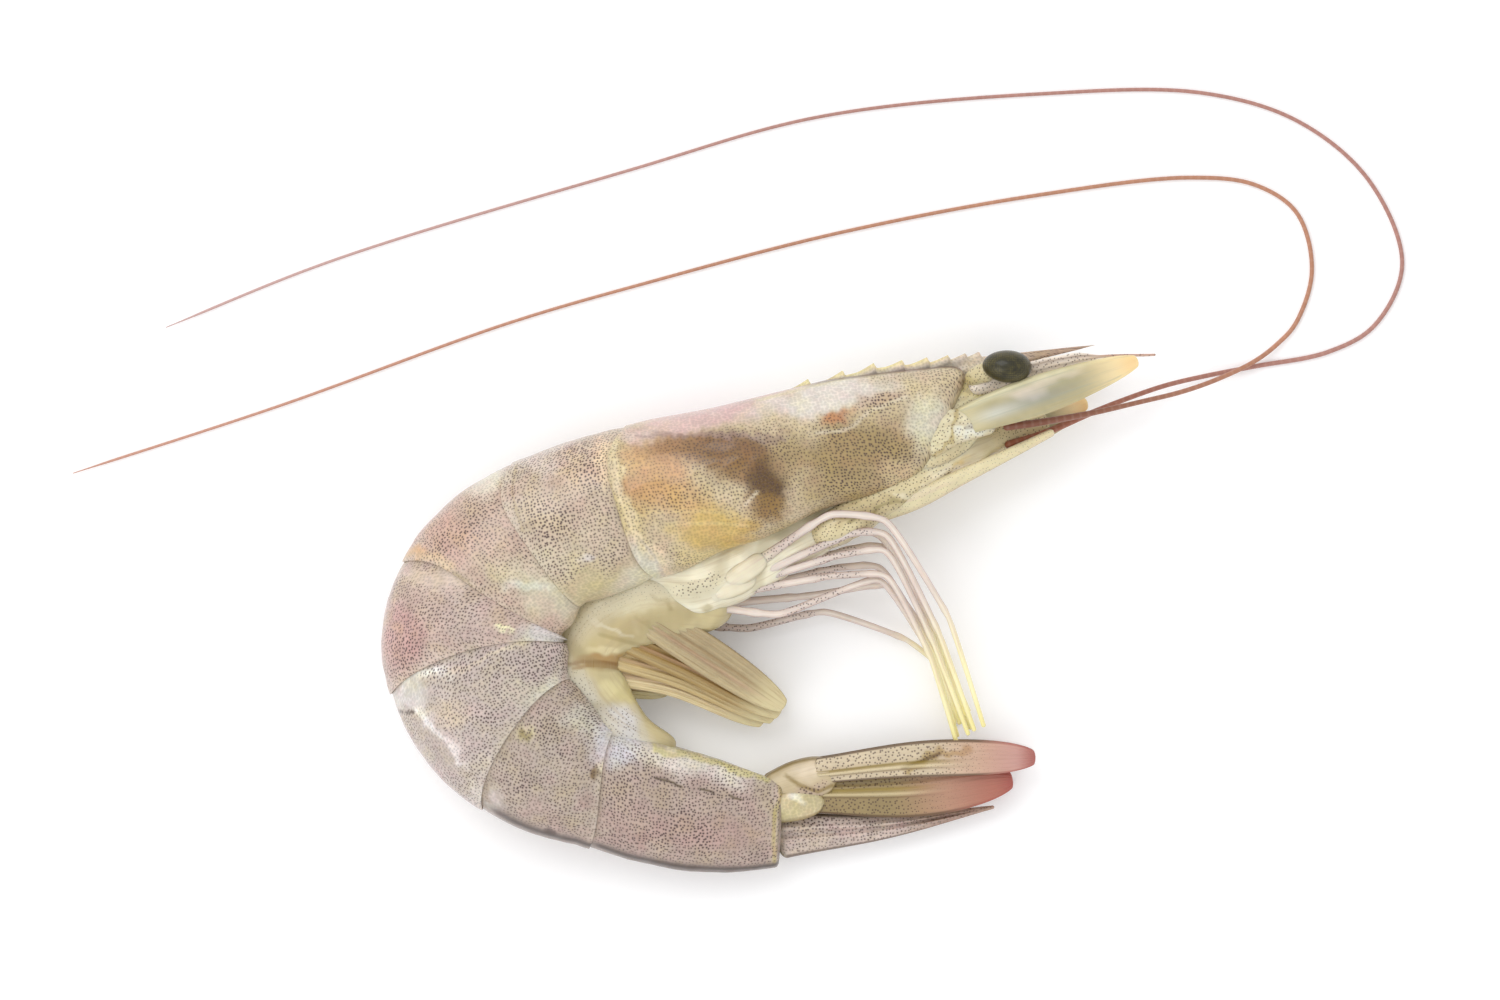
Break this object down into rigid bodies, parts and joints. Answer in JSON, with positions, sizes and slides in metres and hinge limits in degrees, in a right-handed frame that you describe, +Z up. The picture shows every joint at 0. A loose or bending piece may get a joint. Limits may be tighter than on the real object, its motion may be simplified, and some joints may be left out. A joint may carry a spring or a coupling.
{
  "type": "raw shrimp",
  "caption": "A whole raw shrimp with its head and shell on, lying curled on its side with its long feelers swept back over it.",
  "frame": {"origin": "middle of the animal's outline seen from above, at the height of the table it lies on", "axes": "+X the way the head points, +Y across the table towards the back of the head, +Z up from the table, out of the upper flank"},
  "size_m": [0.1606, 0.0944, 0.0166],
  "materials": {
    "head_shell": "thin wet shell over ochre and brown organs, speckled",
    "tail_shell": "thin wet speckled shell over grey flesh",
    "head_flesh": "wet pale flesh",
    "eye": "wet near-black",
    "feeler_scale": "clear horny blade",
    "feeler": "shiny reddish brown",
    "walking_leg": "wet cream, nearly clear at the feet",
    "swimming_leg": "thin translucent olive tan",
    "tail_fan": "thin speckled blade, pink at the end"
  },
  "bodies": {
    "root": {"carapace": "head_shell", "tail_ring_1": "tail_shell", "tail_ring_2": "tail_shell", "tail_ring_3": "tail_shell", "tail_ring_4": "tail_shell", "tail_ring_5": "tail_shell", "tail_ring_6": "tail_shell", "telson": "tail_shell", "breast": "head_flesh", "belly": "head_flesh", "face": "head_flesh", "eye_stalk_near": "head_flesh", "feeler_base_near": "head_flesh", "antennule_near": "head_flesh", "eye_stalk_far": "head_flesh", "feeler_base_far": "head_flesh", "antennule_far": "head_flesh", "eye_near": "eye", "eye_far": "eye", "feeler_scale_near": "feeler_scale", "feeler_scale_far": "feeler_scale", "feeler_near": "feeler", "feeler_far": "feeler", "jaw_leg_near": "walking_leg", "jaw_leg_far": "walking_leg", "leg_near_1": "walking_leg", "leg_near_2": "walking_leg", "leg_near_3": "walking_leg", "leg_near_4": "walking_leg", "leg_near_5": "walking_leg", "leg_far_1": "walking_leg", "leg_far_2": "walking_leg", "leg_far_3": "walking_leg", "leg_far_4": "walking_leg", "leg_far_5": "walking_leg", "swimmeret_near_1": "swimming_leg", "swimmeret_near_2": "swimming_leg", "swimmeret_near_3": "swimming_leg", "swimmeret_near_4": "swimming_leg", "swimmeret_near_5": "swimming_leg", "swimmeret_far_1": "swimming_leg", "swimmeret_far_2": "swimming_leg", "swimmeret_far_3": "swimming_leg", "swimmeret_far_4": "swimming_leg", "swimmeret_far_5": "swimming_leg", "fan_base_near": "tail_fan", "fan_inner_near": "tail_fan", "fan_outer_near": "tail_fan", "fan_base_far": "tail_fan", "fan_inner_far": "tail_fan", "fan_outer_far": "tail_fan"}
  },
  "joints": []
}
